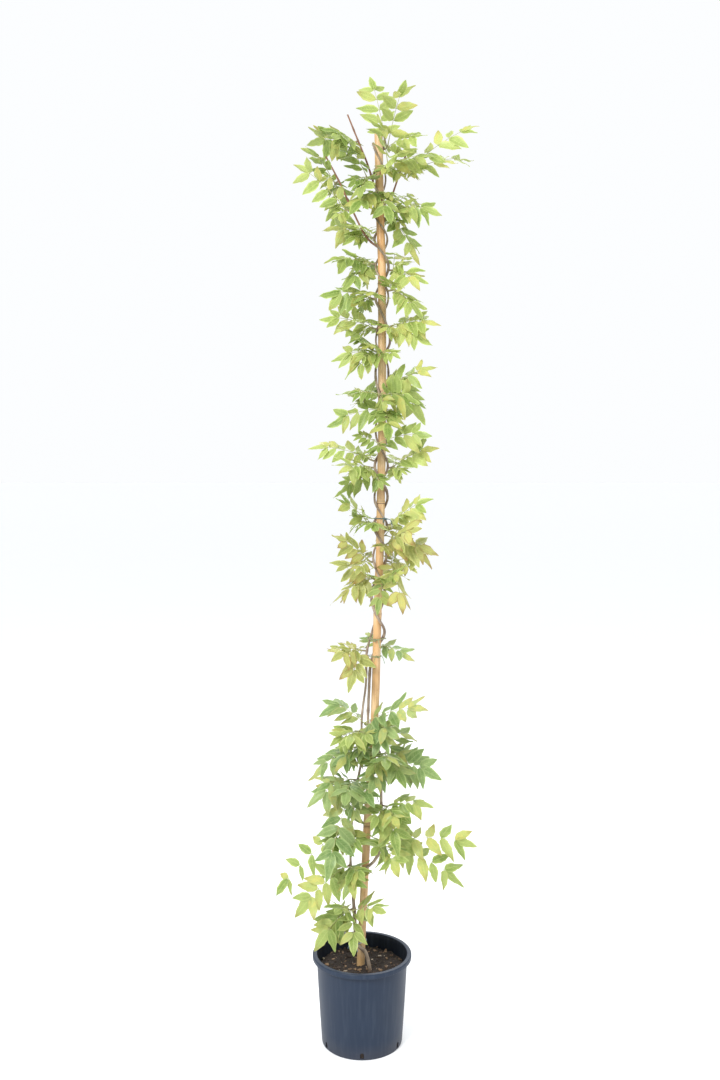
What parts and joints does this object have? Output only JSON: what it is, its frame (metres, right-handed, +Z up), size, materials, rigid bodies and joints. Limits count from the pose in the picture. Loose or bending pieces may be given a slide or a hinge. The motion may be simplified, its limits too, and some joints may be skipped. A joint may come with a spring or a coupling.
{
  "type": "potted climbing plant",
  "caption": "Tall wisteria with pinnate leaves, twined and tied up a bamboo cane in a round nursery pot with soil.",
  "frame": {"origin": "centre of the pot's flat underside, on the ground", "axes": "+Z up along the pot's axis; +X to the right and +Y to the back as the picture's camera sees it"},
  "size_m": [0.5288, 0.2829, 2.507],
  "materials": {
    "pot_plastic": "satin",
    "soil": "matte",
    "bamboo": "satin",
    "bark": "matte",
    "cord": "matte",
    "leaf_light": "satin",
    "leaf_mid": "satin",
    "leaf_dark": "satin",
    "leaf_blue": "satin",
    "leaf_olive": "satin"
  },
  "bodies": {
    "root": {"pot": "pot_plastic", "soil": "soil", "bamboo_cane": "bamboo", "twining_stems": "bark", "tie_trunk": "cord", "tie_low": "cord", "tie_middle_lower": "cord", "tie_middle_upper": "cord", "tie_high": "cord", "spray_crown": "leaf_light", "spray_top_front": "leaf_light", "spray_front_226": "leaf_mid", "spray_stub_right": "leaf_light", "spray_stub_left": "leaf_mid", "spray_stub_low_tip": "leaf_light", "spray_front_221": "leaf_mid", "spray_right_219": "leaf_mid", "spray_front_214": "leaf_light", "spray_stub_low_base": "leaf_mid", "spray_right_208": "leaf_mid", "spray_left_204": "leaf_mid", "spray_right_201": "leaf_light", "spray_low_198": "leaf_mid", "spray_right_197": "leaf_light", "spray_left_190": "leaf_light", "spray_right_184": "leaf_light", "spray_left_184": "leaf_mid", "spray_left_181": "leaf_light", "spray_right_172": "leaf_mid", "spray_left_172": "leaf_mid", "spray_right_167": "leaf_mid", "spray_left_165": "leaf_mid", "spray_right_161": "leaf_mid", "spray_left_158": "leaf_light", "spray_left_154": "leaf_light", "spray_right_151": "leaf_light", "spray_left_146": "leaf_mid", "spray_right_144": "leaf_light", "spray_left_141": "leaf_mid", "spray_right_136": "leaf_olive", "spray_right_131": "leaf_olive", "spray_left_130": "leaf_olive", "spray_left_127": "leaf_olive", "spray_front_121": "leaf_olive", "spray_front_117": "leaf_mid", "spray_left_104": "leaf_olive", "spray_right_102": "leaf_blue", "spray_right_90": "leaf_blue", "spray_left_87": "leaf_light", "spray_right_81": "leaf_dark", "spray_left_77": "leaf_blue", "spray_right_73": "leaf_blue", "spray_left_71": "leaf_blue", "spray_center_62": "leaf_blue", "spray_left_58": "leaf_mid", "spray_right_62": "leaf_mid", "spray_right_54": "leaf_mid", "spray_left_48": "leaf_mid", "spray_left_40": "leaf_mid", "spray_base_37": "leaf_light"}
  },
  "joints": []
}
